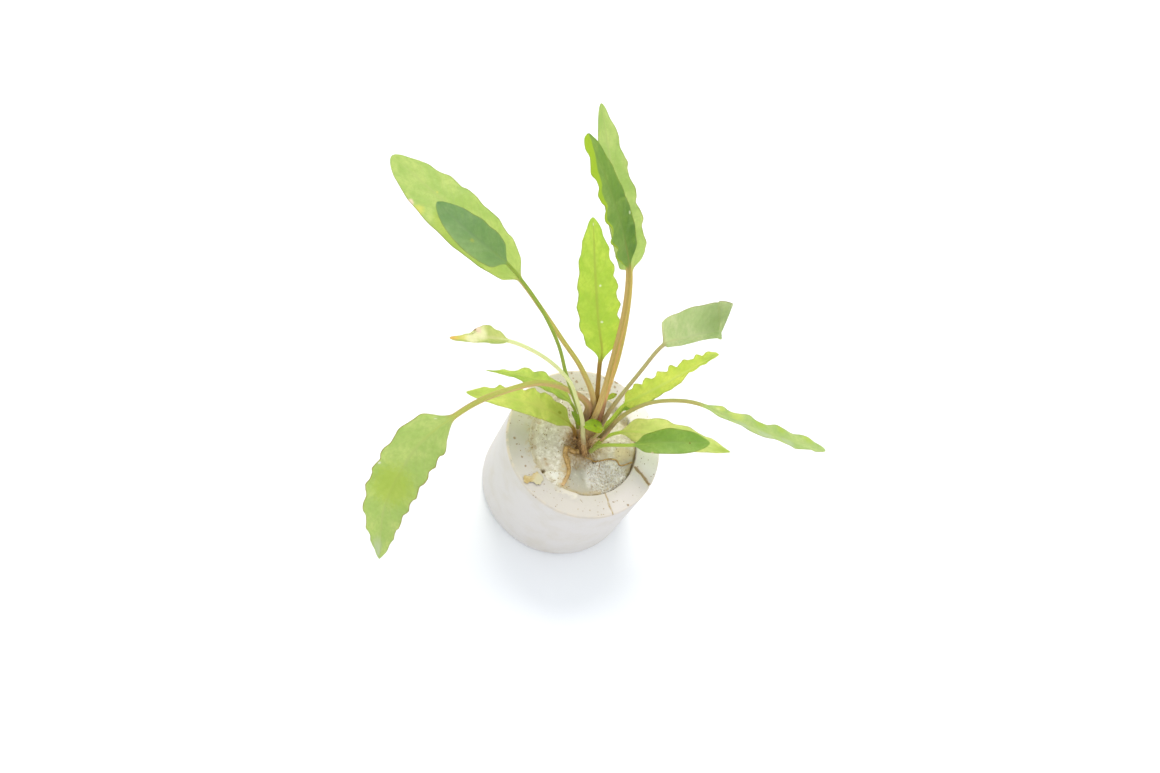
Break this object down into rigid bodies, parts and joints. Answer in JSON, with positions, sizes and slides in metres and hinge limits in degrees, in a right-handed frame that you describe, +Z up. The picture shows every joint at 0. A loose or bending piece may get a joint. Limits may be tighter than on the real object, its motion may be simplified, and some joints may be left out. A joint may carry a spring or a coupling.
{
  "type": "potted cryptocoryne wendtii",
  "caption": "Small aquarium plant with ruffled lance-shaped leaves on long stalks, growing from a wet plug in a squat thick-walled pot.",
  "frame": {"origin": "centre of the pot's flat base, on the surface it stands on", "axes": "+Z up the pot's axis; -Y towards the front, where the arching leaf hangs at the left; +X to the right of someone looking from the front"},
  "size_m": [0.1572, 0.1049, 0.14],
  "materials": {
    "pot": "unglazed, fine-pored, matte",
    "medium": "wet mineral-wool growing medium",
    "crown": "wet leaf sheaths, satin",
    "root": "fresh root, satin",
    "leaf_fresh": "thin translucent leaf, satin",
    "leaf_bright": "thin translucent leaf, satin",
    "leaf_deep": "thin translucent leaf, satin",
    "leaf_pale": "thin translucent leaf, satin",
    "leaf_yellow": "thin yellowing leaf, satin"
  },
  "bodies": {
    "root": {"pot": "pot", "plug": "medium", "crown": "crown", "root_main": "root", "root_side": "root", "leaf_left_long": "leaf_fresh", "leaf_left_inner": "leaf_deep", "leaf_rear_tall": "leaf_fresh", "leaf_rear_front": "leaf_deep", "leaf_centre": "leaf_bright", "leaf_right_folded": "leaf_pale", "leaf_right_ruffled": "leaf_bright", "leaf_right_drooping": "leaf_fresh", "leaf_right_low_pale": "leaf_bright", "leaf_right_low_dark": "leaf_deep", "leaf_left_arching": "leaf_fresh", "leaf_left_low": "leaf_bright", "leaf_left_narrow": "leaf_fresh", "leaf_yellowing": "leaf_yellow", "leaf_young_front": "leaf_bright", "leaf_young_right": "leaf_deep", "leaf_young_rear": "leaf_bright", "leaf_young_left": "leaf_deep"}
  },
  "joints": []
}
